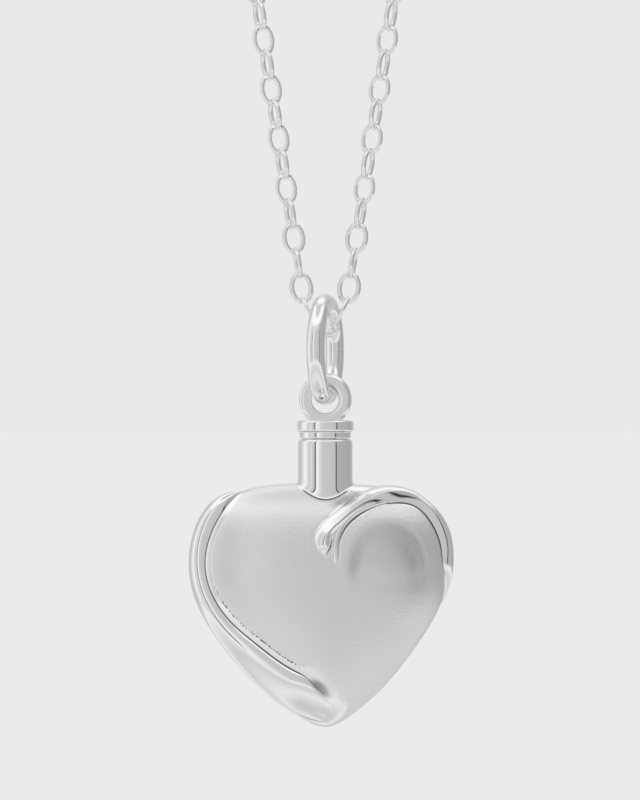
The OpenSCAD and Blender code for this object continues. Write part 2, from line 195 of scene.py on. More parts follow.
class PendantFinish(bpy.types.PropertyGroup):
    """Colours and roughness of the silver."""

    silver: colour("Silver", "Colour of polished sterling silver", "#F6F5F5")
    satin: colour("Satin silver", "Colour of sandblasted sterling silver", "#F3F2F2")
    # The hollow colour is painted shade: it darkens the satin inside the dish, most just inside the upper right of its
    # arch
    hollow: colour("Hollow", "Colour of the more coarsely blasted silver in the dish", "#C9C8C9")
    # This dark colour marks the seam and the specks of polishing compound, is painted shade in the ribbons' creases and
    # at the collar's foot, and darkens the grey patches, which beside the collar are a painted reflection and shade
    tarnish_and_shade: colour("Tarnish", "Colour of the tarnish left in creases and seams", "#2E2D2E")
    polish: share("Polish", "Roughness of the polished silver", 0.06)
    satin_roughness: share("Satin roughness", "Roughness of the sandblasted silver", 0.40)
    grit: length("Grit", "Size of the sandblasted grain, coarser than real so that it shows", 0.00018)


class PendantStage(bpy.types.PropertyGroup):
    """The studio round the pendant."""

    floor: colour("Floor", "Colour of the plain floor", "#FAFAFA")
    floor_drop: length("Floor drop", "Height of the pendant above the floor", 0.025)
    lamp: share("Floor lamp", "Strength of the lamp over the floor", 0.31, high=10.0)
    backdrop: colour("Backdrop", "Plain colour behind the pendant", "#E9E9E9")
    camera_distance: length("Camera distance", "From the lens to the pendant", 0.60, high=5.0)
    view_height: length("View height", "Height that the picture covers at the pendant", 0.06084)


GROUPS = {
    "pendant_chain": PendantChain, "pendant_clasp": PendantClasp, "pendant_bail": PendantBail,
    "pendant_stopper": PendantStopper, "pendant_heart": PendantHeart, "pendant_finish": PendantFinish,
    "pendant_stage": PendantStage,
}

# Outline of the heart's body from the tip and round by the right: x as a share of the width from the
# collar's axis, z as a share of the height from the tip
OUTLINE = [
    [0.005, 0.000], [0.101, 0.054], [0.236, 0.176], [0.357, 0.345], [0.443, 0.495],
    [0.474, 0.642], [0.459, 0.807], [0.390, 0.912], [0.281, 0.976], [0.150, 0.996],
    [0.003, 1.000], [-0.152, 1.000], [-0.306, 0.976], [-0.418, 0.918], [-0.483, 0.806],
    [-0.508, 0.668], [-0.484, 0.527], [-0.411, 0.378], [-0.303, 0.226], [-0.186, 0.104],
    [-0.095, 0.041],
]
# Roundness of the section from the middle to the edge, and from the edge to the face
SECTION_EDGE = 2.5
SECTION_FACE = 2.1
# The soft dish in the right lobe: its middle as shares of the width and height, the power that squares its
# arch, and the heights between which it fades out below, as shares of the heart's height
DISH_MIDDLE = (0.241, 0.619)
DISH_POWER = 2.4
DISH_FADE = (0.55, 0.69)
# Each ribbon in rows: place round the outline in steps of OUTLINE, degrees from the middle of the front
# over the edge, half width as a share of the heart's width, rise as a share of the ribbon's rise, place of
# the crest towards the inner edge as a share of the half width, and darkness of the painted shade in the crease at its
# edge
LEFT_RIBBON = [
    [12.1, 85, 0.002, 0.1, 0.0, 0.0], [12.75, 80, 0.040, 1.3, 0.2, 0.4], [13.6, 78, 0.051, 1.8, 0.3, 0.6],
    [14.5, 77.8, 0.052, 1.65, 0.3, 0.6], [15.2, 77.6, 0.057, 1.5, 0.3, 0.65], [16.0, 75.8, 0.062, 1.5, 0.35, 0.75],
    [16.9, 71.0, 0.068, 1.5, 0.4, 0.85], [17.6, 65.9, 0.080, 1.5, 0.45, 0.95], [18.4, 62.3, 0.088, 1.45, 0.5, 1.0],
    [19.2, 59.8, 0.095, 1.3, 0.5, 1.0], [19.7, 58.3, 0.094, 1.05, 0.4, 0.6], [20.2, 57.5, 0.084, 0.6, 0.3, 0.0],
    [20.7, 58.3, 0.067, 0.3, 0.1, 0.0], [21.2, 60, 0.040, 0.12, 0.0, 0.0], [21.5, 61, 0.004, 0.05, 0.0, 0.0],
]
RIGHT_RIBBON = [
    [4.0, 92, 0.002, 0.1, 0.0, 0.0], [4.7, 87, 0.028, 0.9, 0.3, 0.0], [5.2, 83.8, 0.050, 1.4, 0.4, 0.5],
    [5.7, 82.9, 0.050, 1.65, 0.4, 0.9], [6.2, 82, 0.054, 1.6, 0.4, 1.0], [6.9, 82.4, 0.053, 1.4, 0.45, 1.0],
    [7.4, 82.0, 0.056, 1.5, 0.42, 1.0], [7.9, 77.6, 0.061, 1.6, 0.42, 1.0], [8.3, 69.8, 0.057, 1.6, 0.42, 0.9],
    [8.75, 57.2, 0.041, 1.45, 0.4, 0.8], [9.2, 44.8, 0.034, 1.45, 0.38, 0.9], [9.6, 36.0, 0.036, 1.6, 0.35, 1.0],
    [9.95, 30.0, 0.036, 1.8, 0.35, 1.0], [10.15, 24.8, 0.036, 1.8, 0.33, 1.0], [10.15, 20.5, 0.030, 1.5, 0.3, 0.8],
    [10.08, 17.5, 0.016, 0.8, 0.2, 0.5], [10.0, 15.5, 0.003, 0.1, 0.0, 0.0],
]
FOLD_RIBBON = [
    [7.7, 65, 0.004, 0.1, 0.0, 0.0], [8.15, 57.5, 0.009, 0.5, 0.3, 0.0], [8.55, 51, 0.012, 0.9, 0.3, 0.6],
    [8.95, 44, 0.015, 1.0, 0.3, 1.0], [9.25, 37, 0.017, 1.0, 0.3, 1.0], [9.45, 29.5, 0.018, 0.9, 0.2, 0.8],
    [9.5, 22.5, 0.017, 0.6, 0.0, 0.3], [9.3, 16, 0.014, 0.3, 0.0, 0.0], [8.9, 10.5, 0.004, 0.05, 0.0, 0.0],
]
# The two flanks of each ribbon, inner and outer: 1 is round, less is fuller and more is flatter
LEFT_FLANKS = (0.7, 1.0)
RIGHT_FLANKS = (1.4, 1.5)
FOLD_FLANKS = (1.0, 1.4)
# Polished places beside the collar: x and z from the collar's axis and the tip, and radius, as shares of the
# heart's width, height and width
POLISHED_SPOTS = [[0.150, 0.985, 0.040], [0.118, 0.985, 0.026]]
# Grey patches: the three beside the collar are a painted reflection and shade in the hollow between the
# collar's foot and the right ribbon, and the two by the tip are darker patches. x and z as above, half
# length and half width as shares of the width, turn in degrees, and darkness
GREY_PATCHES_AND_SHADE = [
    [-0.019, 0.168, 0.065, 0.026, -40, 1.0], [0.069, 0.931, 0.080, 0.022, 22, 0.75],
    [0.096, 0.925, 0.046, 0.010, 26, 1.0], [0.052, 0.923, 0.020, 0.014, 10, 1.0],
    [0.002, 0.146, 0.018, 0.004, -60, 1.0],
]
# The left ribbon's end: x and z as above, and the distances as shares of the width over which it runs out
LEAF_END = (-0.005, 0.155)
LEAF_SOFT = (0.10, 0.17)
# Polished strips round the ribbons' other edges and the collar
THIN_MARGIN = 0.10 * MM
# Sizes of the cloudy patches and of the specks of polishing compound on the heart
CLOUD = 2.5 * MM
SPECK = 0.17 * MM

# Walls of the light tent: degrees round from the front to the pendant's right in the picture, and brightness
TENT_WALLS = [
    (-180, 0.72), (-150, 0.62), (-128, 0.56), (-112, 0.75), (-98, 0.98), (-86, 0.88), (-74, 0.62), (-62, 0.78),
    (-47, 0.48), (-38, 1.00), (-24, 0.78), (-12, 0.62), (30, 0.58), (42, 0.57), (52, 0.46), (90, 0.44),
    (125, 0.40), (150, 0.52), (180, 0.72),
]
# Brightness of the tent's floor by degrees below the horizon, and where it takes over from the walls
TENT_FLOOR = [(16, 0.60), (24, 0.92), (38, 0.66), (55, 0.86), (75, 0.62), (90, 0.74)]
FLOOR_EDGE = (-16, -24)
# Above the walls a bright band and then a plainer top: the degrees over which each sets in, and brightness
TENT_LAYERS = [(36, 54, 1.05), (62, 78, 0.62)]
# The tent's front opening has a thin dark frame: the turn of its middle, the degrees to its sides and its top,
# the roundness of its corners, the line's half width, and brightness
FRAME_TURN = 2.5
FRAME_SIDE = 45.5
FRAME_TOP = 47
FRAME_CORNER = 12
FRAME_LINE = 3.5
FRAME_LIGHT = 0.03
# The line grows faint over these degrees of height, down to a share of its darkness
FRAME_FADE = (40, 24)
FRAME_FAINT = 0.3

# Place of the lens: to the side of the pendant and above the lowest point of the model
LENS_SIDE = -0.399 * MM
LENS_ABOVE = 24.87 * MM


def settings(name):
    """The property group of one piece."""
    return getattr(bpy.context.scene, name)


def node(tree, kind, inputs=None, **options):
    """Adds a node with its options and its inputs: a socket feeds an input, and any other value is set on it."""
    made = tree.nodes.new(kind)
    for key, value in options.items():
        setattr(made, key, value)
    for key, value in (inputs or {}).items():
        if isinstance(value, bpy.types.NodeSocket):
            tree.links.new(value, made.inputs[key])
        else:
            made.inputs[key].default_value = value
    return made


def new_material(name):
    """An empty material and its node tree, with the output and a shader that feeds it."""
    made = bpy.data.materials.new(name)
    made.use_nodes = True
    made.node_tree.nodes.clear()
    shader = node(made.node_tree, "ShaderNodeBsdfPrincipled", {"Metallic": 1.0})
    node(made.node_tree, "ShaderNodeOutputMaterial", {"Surface": shader.outputs["BSDF"]})
    return made, made.node_tree, shader


def polished_silver(name, wear=1.0):
    """Sterling silver, cast or drawn and then polished: a bright mirror whose wear shows only as uneven gloss."""
    finish = settings("pendant_finish")
    made, tree, shader = new_material(name)
    shader.inputs["Base Color"].default_value = finish.silver
    place = node(tree, "ShaderNodeTexCoord").outputs["Object"]
    # Handling leaves cloudy patches about 2 mm across
    haze = node(tree, "ShaderNodeTexNoise", {"Vector": place, "Scale": 1 / (2 * MM), "Detail": 3.0}).outputs["Fac"]
    gloss = node(tree, "ShaderNodeMapRange", {
        "Value": haze, "To Min": finish.polish * 0.7, "To Max": finish.polish * (1 + 0.8 * wear),
    })
    tree.links.new(gloss.outputs["Result"], shader.inputs["Roughness"])
    # The polishing wheel leaves soft waves about 0.7 mm apart
    waves = node(tree, "ShaderNodeTexNoise", {"Vector": place, "Scale": 1 / (0.7 * MM), "Detail": 1.0}).outputs["Fac"]
    bump = node(tree, "ShaderNodeBump", {"Height": waves, "Strength": 0.25, "Distance": 0.006 * MM * wear})
    tree.links.new(bump.outputs["Normal"], shader.inputs["Normal"])
    return made


def chain_silver(name):
    """Drawn silver wire, tumble polished: bright and even."""
    return polished_silver(name, 0.3)


def heart_silver(name):
    """Sterling silver, sandblasted to a soft white satin on the front and polished on ribbons, collar and back, with
    painted shade in the dish, the creases and grey patches.
    """
    finish = settings("pendant_finish")
    made, tree, shader = new_material(name)
    add = partial(node, tree)
    soft, colours = {"interpolation_type": "SMOOTHSTEP"}, {"data_type": "RGBA"}
    place = add("ShaderNodeTexCoord").outputs["Object"]
    mark = {
        key: add("ShaderNodeAttribute", attribute_name=key).outputs["Fac"]
        for key in ("satin_distance", "crease_distance", "satin_line", "dish_shade", "grey_patch_and_shade")
    }
    grain, cloud, specks = (
        add("ShaderNodeTexNoise", {"Vector": place, "Scale": 1 / size, "Detail": detail}).outputs["Fac"]
        for size, detail in ((finish.grit, 4.0), (CLOUD, 2.0), (SPECK, 2.0))
    )
    # Distance in millimetres into the satin from its edge, broken up by the grain
    ragged = add("ShaderNodeMath", {0: grain, 1: 0.5}, operation="SUBTRACT").outputs[0]
    inside = add(
        "ShaderNodeMath", {0: ragged, 1: 0.14, 2: mark["satin_distance"]}, operation="MULTIPLY_ADD",
    ).outputs[0]
    satin = add("ShaderNodeMapRange", {"Value": inside, "From Max": 0.10}, **soft).outputs["Result"]
    # Painted shade darkens the satin in the dish, and the grain breaks it up into darker specks
    dish_painted_shade = add(
        "ShaderNodeMapRange", {"Value": grain, "From Min": 0.25, "From Max": 0.75, "To Min": 1.0, "To Max": 0.82},
        **soft,
    ).outputs["Result"]
    dish_painted_shade = add("ShaderNodeMath", {0: dish_painted_shade, 1: mark["dish_shade"]}, operation="MULTIPLY").outputs[0]
    dish_painted_shade = add("ShaderNodeMath", {0: dish_painted_shade, 1: satin}, operation="MULTIPLY").outputs[0]
    # Painted shade darkens the creases and the collar's foot, the seam shows as a dark line, and specks of polishing
    # compound lie along the edge of the satin
    edge = add("ShaderNodeMath", {0: inside}, operation="ABSOLUTE").outputs[0]
    edge = add("ShaderNodeMapRange", {"Value": edge, "From Min": 0.09, "From Max": 0.02}, **soft).outputs["Result"]
    speck = add("ShaderNodeMapRange", {"Value": specks, "From Min": 0.44, "From Max": 0.60}, **soft).outputs["Result"]
    rim = add("ShaderNodeMath", {0: edge, 1: speck}, operation="MULTIPLY").outputs[0]
    rim = add("ShaderNodeMath", {0: rim, 1: mark["satin_line"]}, operation="MULTIPLY").outputs[0]
    crease = add(
        "ShaderNodeMapRange", {"Value": mark["crease_distance"], "From Min": 0.11, "From Max": 0.03}, **soft,
    ).outputs["Result"]
    dark = add("ShaderNodeMath", {0: crease, 1: rim}, operation="MAXIMUM").outputs[0]
    crease_shade_seam_and_specks = add("ShaderNodeMath", {0: dark, 1: 0.9}, operation="MULTIPLY").outputs[0]
    # Grey patches, made cloudy by the noise: beside the collar a painted reflection and shade
    patchy = add(
        "ShaderNodeMapRange", {"Value": cloud, "From Min": 0.3, "From Max": 0.6, "To Min": 0.3, "To Max": 0.6}, **soft,
    ).outputs["Result"]
    grey_patch_and_shade = add("ShaderNodeMath", {0: patchy, 1: mark["grey_patch_and_shade"]}, operation="MULTIPLY").outputs[0]
    tone = finish.silver
    for factor, layer in (
        (satin, finish.satin), (dish_painted_shade, finish.hollow), (crease_shade_seam_and_specks, finish.tarnish_and_shade), (grey_patch_and_shade, finish.tarnish_and_shade),
    ):
        tone = add("ShaderNodeMix", {"Factor": factor, "A": tone, "B": layer}, **colours).outputs["Result"]
    tree.links.new(tone, shader.inputs["Base Color"])
    blasted = add("ShaderNodeMapRange", {
        "Value": cloud, "From Min": 0.2, "From Max": 0.8,
        "To Min": finish.satin_roughness - 0.04, "To Max": finish.satin_roughness + 0.04,
    }, **soft).outputs["Result"]
    dull = add("ShaderNodeMath", {0: satin, 1: dark}, operation="MAXIMUM").outputs[0]
    rough = add("ShaderNodeMix", {"Factor": dull, "A": finish.polish, "B": blasted})
    tree.links.new(rough.outputs["Result"], shader.inputs["Roughness"])
    relief = add("ShaderNodeMath", {0: grain, 1: satin}, operation="MULTIPLY").outputs[0]
    bump = add("ShaderNodeBump", {"Height": relief, "Strength": 0.8, "Distance": 0.03 * MM})
    tree.links.new(bump.outputs["Normal"], shader.inputs["Normal"])
    return made


def material(name, make):
    """A material that is made once and then shared."""
    return bpy.data.materials.get(name) or make(name)


def mesh_object(name, points, faces, smooth_angle=35):
    """A closed mesh with outward faces and soft shading up to an angle between two faces."""
    mesh = bpy.data.meshes.new(name)
    mesh.from_pydata([tuple(p) for p in points], [], faces)
    mesh.validate()
    whole = bmesh.new()
    whole.from_mesh(mesh)
    bmesh.ops.remove_doubles(whole, verts=whole.verts, dist=1e-8)
    bmesh.ops.recalc_face_normals(whole, faces=whole.faces)
    whole.to_mesh(mesh)
    whole.free()
    shade(mesh, smooth_angle)
    made = bpy.data.objects.new(name, mesh)
    bpy.context.scene.collection.objects.link(made)
    return made


def shade(mesh, smooth_angle):
    """Soft shading with a hard edge where two faces meet at more than the angle."""
    mesh.shade_smooth()
    mesh.set_sharp_from_angle(angle=math.radians(smooth_angle))


def baked(obj):
    """The object with its modifiers made part of a plain mesh."""
    bpy.context.view_layer.update()
    mesh = bpy.data.meshes.new_from_object(obj.evaluated_get(bpy.context.evaluated_depsgraph_get()))
    obj.modifiers.clear()
    old = obj.data
    obj.data = mesh
    if old.users == 0:
        bpy.data.meshes.remove(old)
    return obj


def combined(base, tools, operation):
    """Joins solids to the base or cuts them from it, and removes them."""
    for tool in tools:
        cut = base.modifiers.new("solid", "BOOLEAN")
        cut.solver = "MANIFOLD"
        cut.operation = operation
        cut.object = tool
    baked(base)
    for tool in tools:
        mesh = tool.data
        bpy.data.objects.remove(tool)
        bpy.data.meshes.remove(mesh)
    return base


def finished(obj, finish, body, slot, *nodes):
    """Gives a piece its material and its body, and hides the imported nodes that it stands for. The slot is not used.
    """
    if finish is not None:
        obj.data.materials.clear()
        obj.data.materials.append(finish)
    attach(obj, body)
    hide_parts(*nodes)
    return obj


def grid_faces(rows, columns, closed_rows=False):
    """Faces of a sheet of rows by columns whose columns run round and meet."""
    last = rows if closed_rows else rows - 1
    return [
        (i * columns + j, i * columns + (j + 1) % columns,
         (i + 1) % rows * columns + (j + 1) % columns, (i + 1) % rows * columns + j)
        for i in range(last) for j in range(columns)
    ]


def tube_faces(rings, around):
    """Faces of a closed tube: its side, and a fan at each end round the two points that follow its rings."""
    count, end = rings * around, (rings - 1) * around
    faces = grid_faces(rings, around)
    faces += [(count, j, (j + 1) % around) for j in range(around)]
    faces += [(count + 1, end + (j + 1) % around, end + j) for j in range(around)]
    return faces


def turned(name, profile, around, axis="Z", middle=(0, 0, 0), smooth_angle=35):
    """A closed solid turned from a profile of radius and height, which ends on the axis or closes on itself."""
    on_axis = profile[0][0] < 1e-9 and profile[-1][0] < 1e-9
    rings = profile[1:-1] if on_axis else profile
    points = []
    for radius, height in rings:
        for j in range(around):
            a = 2 * math.pi * j / around
            points.append((radius * math.cos(a), radius * math.sin(a), height))
    if on_axis:
        points += [(0, 0, profile[0][1]), (0, 0, profile[-1][1])]
        faces = tube_faces(len(rings), around)
    else:
        faces = grid_faces(len(rings), around, closed_rows=True)
    if axis == "Y":
        points = [(x, -z, y) for x, y, z in points]
    points = [Vector(p) + Vector(middle) for p in points]
    return mesh_object(name, points, faces, smooth_angle)


def arc(middle, radius, start, end, steps):
    """Points on an arc, from and to an angle in degrees."""
    return [
        (middle[0] + radius * math.cos(math.radians(a)), middle[1] + radius * math.sin(math.radians(a)))
        for a in np.linspace(start, end, steps + 1)
    ]


# Heart


def spline(rows, t, closed):
    """Points of the smooth curve through the rows of a table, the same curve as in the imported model."""
    rows = np.asarray(rows, float)
    count = len(rows)

    def row(i):
        if closed:
            return rows[i % count]
        inside = rows[np.clip(i, 0, count - 1)]
        before = rows[0] + i[..., None] * (rows[1] - rows[0])
        after = rows[-1] + (i - count + 1)[..., None] * (rows[-1] - rows[-2])
        return np.where((i < 0)[..., None], before, np.where((i > count - 1)[..., None], after, inside))

    def guide(i):
        return row(i) - (row(i - 1) - 2 * row(i) + row(i + 1)) / 6

    t = np.asarray(t, float)
    i = np.floor(t).astype(int)
    f = t - i
    weights = [(1 - f) ** 3, 3 * f ** 3 - 6 * f * f + 4, -3 * f ** 3 + 3 * f * f + 3 * f + 1, f ** 3]
    return sum(w[..., None] / 6 * guide(i - 1 + k) for k, w in enumerate(weights))


def smoothstep(a, b, v):
    """A soft step from 0 at a to 1 at b."""
    t = np.clip((v - a) / (b - a), 0, 1)
    return t * t * (3 - 2 * t)


def shell(u, f, scale, half):
    """The puffed heart, at u steps round the outline and f degrees from the middle of the front."""
    heart = settings("pendant_heart")
    u, f = np.broadcast_arrays(np.asarray(u, float), np.radians(f))
    edge = spline(OUTLINE, u, True) * [heart.width, heart.height]
    middle = np.array([0, heart.middle])
    out = scale * np.abs(np.sin(f)) ** (2 / SECTION_EDGE)
    flat = middle + out[..., None] * (edge - middle)
    y = -half * np.sign(np.cos(f)) * np.abs(np.cos(f)) ** (2 / SECTION_FACE)
    return np.stack([flat[..., 0], y, flat[..., 1]], -1)


def dish_reach(x, z):
    """How far a place on the front lies from the dish's middle: 1 on its arch."""
    heart = settings("pendant_heart")
    side = np.abs((x - DISH_MIDDLE[0] * heart.width) / heart.dish_width)
    up = np.abs((z - DISH_MIDDLE[1] * heart.height) / heart.dish_height)
    return (side ** DISH_POWER + up ** DISH_POWER) ** (1 / DISH_POWER)


def dish_fade(z):
    """How the dish runs out towards the tip: 0 below, 1 above."""
    height = settings("pendant_heart").height
    return smoothstep(DISH_FADE[0] * height, DISH_FADE[1] * height, z)


def dish_share(x, z):
    """How far into the dish a place on the front lies: 0 outside, 1 inside its soft edge."""
    heart = settings("pendant_heart")
    return (1 - smoothstep(1 - heart.dish_edge, 1, dish_reach(x, z))) * dish_fade(z)


def dish_shade_share(x, z):
    """How much painted shade darkens the dish there: most along the inside of its arch."""
    out = dish_reach(x, z)
    return (1 - smoothstep(0.80, 0.94, out)) * (0.45 + 0.55 * smoothstep(0.2, 0.8, out)) * dish_fade(z)


def skin(u, f):
    """The outer surface of the heart, with the soft dish in its right lobe."""
    heart = settings("pendant_heart")
    points = shell(u, f, 1, heart.depth / 2)
    dish = heart.dish * dish_share(points[..., 0], points[..., 2])
    points[..., 1] += np.where(np.broadcast_to(np.asarray(f) < 90, dish.shape), dish, 0)
    return points


def unit(v):
    """Vectors of length one."""
    return v / np.linalg.norm(v, axis=-1, keepdims=True)


def outward(u, f):
    """Directions out of the heart's surface."""
    return unit(np.cross(skin(u, f + 0.5) - skin(u, f - 0.5), skin(u + 0.02, f) - skin(u - 0.02, f)))


def puffed(name, turns, around, points_at):
    """A closed shell over rings of equal turn from the middle of the front to the middle of the back."""
    steps = np.arange(around) * len(OUTLINE) / around
    rings = [points_at(steps, np.full(around, f)) for f in turns]
    points = np.concatenate([*rings, points_at(np.zeros(1), np.zeros(1)), points_at(np.zeros(1), np.full(1, 180.0))])
    return mesh_object(name, points, tube_faces(len(turns), around))


def ribbon(name, rows, rings, sides, flanks):
    """A roll that follows the heart's surface through the rows of a table, and the lines of its two edges.

    Each edge is a list of points with the darkness of the painted shade in its crease there.
    """
    heart = settings("pendant_heart")
    inner, outer = flanks
    t = np.linspace(0, len(rows) - 1, rings)
    place = spline(rows, t, False)
    u, f = place[:, 0], place[:, 1]
    half = np.maximum(place[:, 2], 0.001) * heart.width
    rise = np.maximum(place[:, 3], 0.05) * heart.ribbon
    middle, up = skin(u, f), outward(u, f)
    side = unit(np.cross(unit(np.gradient(middle, axis=0)), up))
    # How u and f change with a millimetre sideways
    along_u, along_f = (skin(u + 0.01, f) - skin(u - 0.01, f)) / 0.02, (skin(u, f + 0.1) - skin(u, f - 0.1)) / 0.2
    uu, uf, ff = (np.sum(a * b, 1) for a, b in ((along_u, along_u), (along_u, along_f), (along_f, along_f)))
    us, fs = np.sum(along_u * side, 1), np.sum(along_f * side, 1)
    det = uu * ff - uf * uf
    step_u, step_f = (ff * us - uf * fs) / det, (uu * fs - uf * us) / det

    def ground(across):
        return skin(u + step_u * across, f + step_f * across)

    points = []
    for j in range(sides):
        a = 2 * math.pi * j / sides
        flank, lean = (inner, -place[:, 4]) if math.cos(a) < 0 else (outer, place[:, 4])
        out = math.copysign(abs(math.cos(a)) ** flank, math.cos(a))
        lift = math.copysign(abs(math.sin(a)) ** flank, math.sin(a))
        across = half * (out * (1 + lean) - place[:, 4])
        height = rise * (lift if lift > 0 else 1.4 * lift) - heart.sink
        points.append(ground(across) + up * height[:, None])
    points = np.concatenate([np.stack(points, 1).reshape(-1, 3), middle[:1], middle[-1:]])
    made = mesh_object(name, points, tube_faces(rings, sides))
    return made, (ground(-half), place[:, 5]), (ground(half), place[:, 5])


def collar(name, ground, around):
    """The collar's sleeve, with a soft corner that follows the heart's surface round its foot."""
    heart = settings("pendant_heart")
    r, bore, top = heart.collar / 2, heart.bore / 2, heart.height + heart.collar_height
    low = heart.height - heart.sleeve
    rounding = arc((r - heart.chamfer, top - heart.chamfer), heart.chamfer, 0, 90, 6)
    mouth = arc((bore + heart.chamfer / 2, top - heart.chamfer / 2), heart.chamfer / 2, 90, 180, 4)
    rows = []
    for j in range(around):
        a = 2 * math.pi * j / around
        way = Vector((math.cos(a), math.sin(a), 0))

        def height(radius):
            hit = ground.ray_cast(way * radius + Vector((0, 0, 2 * heart.height)), Vector((0, 0, -1)))
            return hit[0].z

        # A curve from the wall over the corner to just under the surface, and a root sunk in the heart
        corner = Vector((r, height(r)))
        start = corner + Vector((0, heart.flare))
        end = Vector((r + heart.flare / 2, height(r + heart.flare / 2) - 0.02 * MM))
        foot = [start * (1 - s) ** 2 + corner * 2 * s * (1 - s) + end * s * s for s in np.linspace(0, 1, 9)]
        sunk = Vector((end.x, end.y - 0.25 * MM))
        profile = [(bore, low), (r, low), tuple(sunk), *(tuple(p) for p in reversed(foot))]
        wall = [(r, start.y + (top - heart.chamfer - start.y) * s) for s in np.linspace(0.1, 0.9, 5)]
        profile += wall + rounding + mouth
        rows.append([way * radius + Vector((0, 0, z)) for radius, z in profile])
    columns = len(rows[0])
    points = [p for row in rows for p in row]
    faces = [
        (i * columns + j, (i + 1) % around * columns + j,
         (i + 1) % around * columns + (j + 1) % columns, i * columns + (j + 1) % columns)
        for i in range(around) for j in range(columns)
    ]
    return mesh_object(name, points, faces)


def collar_foot_shade(ground):
    """The line of painted shade along the front of the collar's foot, with its darkness."""
    heart = settings("pendant_heart")
    turns = np.radians(np.linspace(218, 322, 60))
    radius = heart.collar / 2 + heart.flare / 2
    points = []
    for a in turns:
        start = Vector((radius * math.cos(a), radius * math.sin(a), 2 * heart.height))
        points.append(tuple(ground.ray_cast(start, Vector((0, 0, -1)))[0]))
    return np.array(points), smoothstep(0.6, 0.75, -np.sin(turns))


def tree_of(obj):
    """A search tree over an object's faces."""
    return BVHTree.FromPolygons([v.co for v in obj.data.vertices], [p.vertices for p in obj.data.polygons])


def mark_finish(obj, polished, lines, left):
    """Writes the marks that the heart's material reads, in millimetres or shares, on each point.

    polished holds a search tree and a margin for each polished part, and lines the points and darkness of
    each dark line: painted shade in the creases and at the collar's foot, and the seam.
    """
    heart = settings("pendant_heart")
    count = len(obj.data.vertices)
    co = np.empty(count * 3)
    obj.data.vertices.foreach_get("co", co)
    co = co.reshape(-1, 3)
    # The satin ends just in front of the heart's edge
    satin = -co[:, 1] - 0.3 * MM
    for x, z, r in POLISHED_SPOTS:
        spot = np.hypot(co[:, 0] - x * heart.width, co[:, 2] - z * heart.height) - r * heart.width
        satin = np.minimum(satin, spot)
    # The left ribbon's end runs out softly into the satin
    leaf = np.hypot(co[:, 0] - LEAF_END[0] * heart.width, co[:, 2] - LEAF_END[1] * heart.height)
    soft = 0.12 + 0.88 * smoothstep(LEAF_SOFT[0] * heart.width, LEAF_SOFT[1] * heart.width, leaf)
    points, darkness = [], []
    for line, dark in lines:
        fine = np.linspace(0, len(line) - 1, 8 * len(line))
        points.append(np.stack([np.interp(fine, np.arange(len(line)), line[:, k]) for k in range(3)], 1))
        darkness.append(np.interp(fine, np.arange(len(line)), dark))
    points, darkness = np.concatenate(points), np.concatenate(darkness)
    points, darkness = points[darkness > 0.02], darkness[darkness > 0.02]
    creases = KDTree(len(points))
    for i, point in enumerate(points):
        creases.insert(point, i)
    creases.balance()
    crease, strip = np.empty(count), np.empty(count)
    for i, point in enumerate(co):
        _, k, away = creases.find(point)
        crease[i] = away / MM + 0.08 * (1 - darkness[k])
        for tree, margin in polished:
            satin[i] = min(satin[i], (tree.find_nearest(point)[3] or 0.0) - margin)
        strip[i] = left.find_nearest(point)[3] or 0.0
    z = co[:, 2]
    # Specks of compound follow the satin's edge beside the left ribbon, between these heights
    line = (1 - smoothstep(1.2 * MM, 1.6 * MM, strip)) * smoothstep(4.0 * MM, 4.8 * MM, z)
    line *= 1 - smoothstep(9.5 * MM, 12 * MM, z)
    # The dish's painted shade is darkest at its upper right
    darkest_shade = smoothstep(2.6 * MM, 7.2 * MM, co[:, 0]) * smoothstep(10.4 * MM, 13.2 * MM, z)
    grey_patch_and_shade = np.zeros(count)
    for x, up, long, short, turn, dark in GREY_PATCHES_AND_SHADE:
        x, up, turn = co[:, 0] - x * heart.width, z - up * heart.height, math.radians(turn)
        long = (x * math.cos(turn) + up * math.sin(turn)) / (long * heart.width)
        short = (-x * math.sin(turn) + up * math.cos(turn)) / (short * heart.width)
        grey_patch_and_shade = np.maximum(grey_patch_and_shade, dark * (1 - smoothstep(0.3, 1.0, np.hypot(long, short))))
    marks = {
        "satin_distance": satin * soft / MM,
        "crease_distance": crease,
        "satin_line": line * soft ** 2,
        "dish_shade": dish_shade_share(co[:, 0], z) * (0.25 + 0.75 * darkest_shade) * (co[:, 1] < 0),
        "grey_patch_and_shade": grey_patch_and_shade * (co[:, 1] < 0),
    }
    for key, values in marks.items():
        obj.data.attributes.new(key, "FLOAT", "POINT").data.foreach_set("value", values.astype(np.float32))


